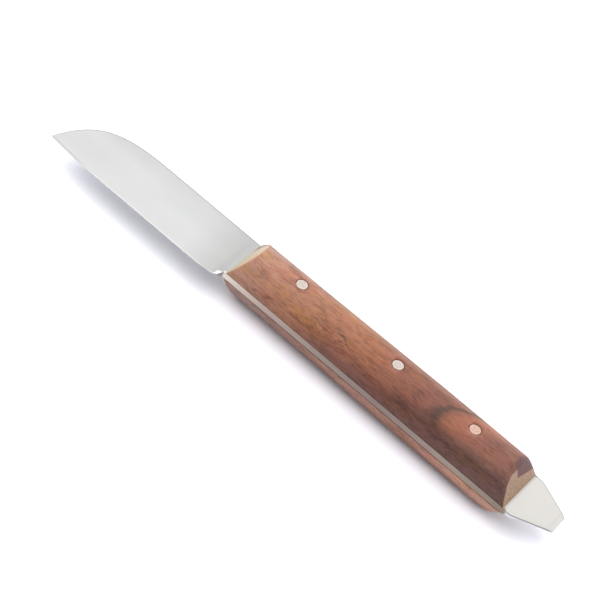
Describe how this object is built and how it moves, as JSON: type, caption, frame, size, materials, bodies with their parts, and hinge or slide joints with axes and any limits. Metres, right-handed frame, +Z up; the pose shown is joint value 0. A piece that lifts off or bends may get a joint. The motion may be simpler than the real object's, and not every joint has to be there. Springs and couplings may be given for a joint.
{
  "type": "plaster knife",
  "caption": "Short stiff knife with a full-width flat tang, rounded hardwood handle scales held by flush through pins, and a flat tapered pry tip at the butt end.",
  "frame": {"origin": "centre of the bounding box in X and Y, at the flat crown of the lower scale that the knife lies on", "axes": "+X along the knife to the pry tip, with the blade's point at -X; +Y from the cutting edge to the spine; +Z up through the flat of the blade, out of the upper scale"},
  "size_m": [0.17, 0.019, 0.0162],
  "materials": {
    "blade_steel": "satin ground stainless steel",
    "handle_wood": "fine-pored reddish brown hardwood, oiled, low sheen",
    "pin_metal": "peened and ground flush, satin"
  },
  "bodies": {
    "root": {"blade_and_tang": "blade_steel", "upper_scale": "handle_wood", "lower_scale": "handle_wood", "front_pin": "pin_metal", "middle_pin": "pin_metal", "rear_pin": "pin_metal"}
  },
  "joints": []
}
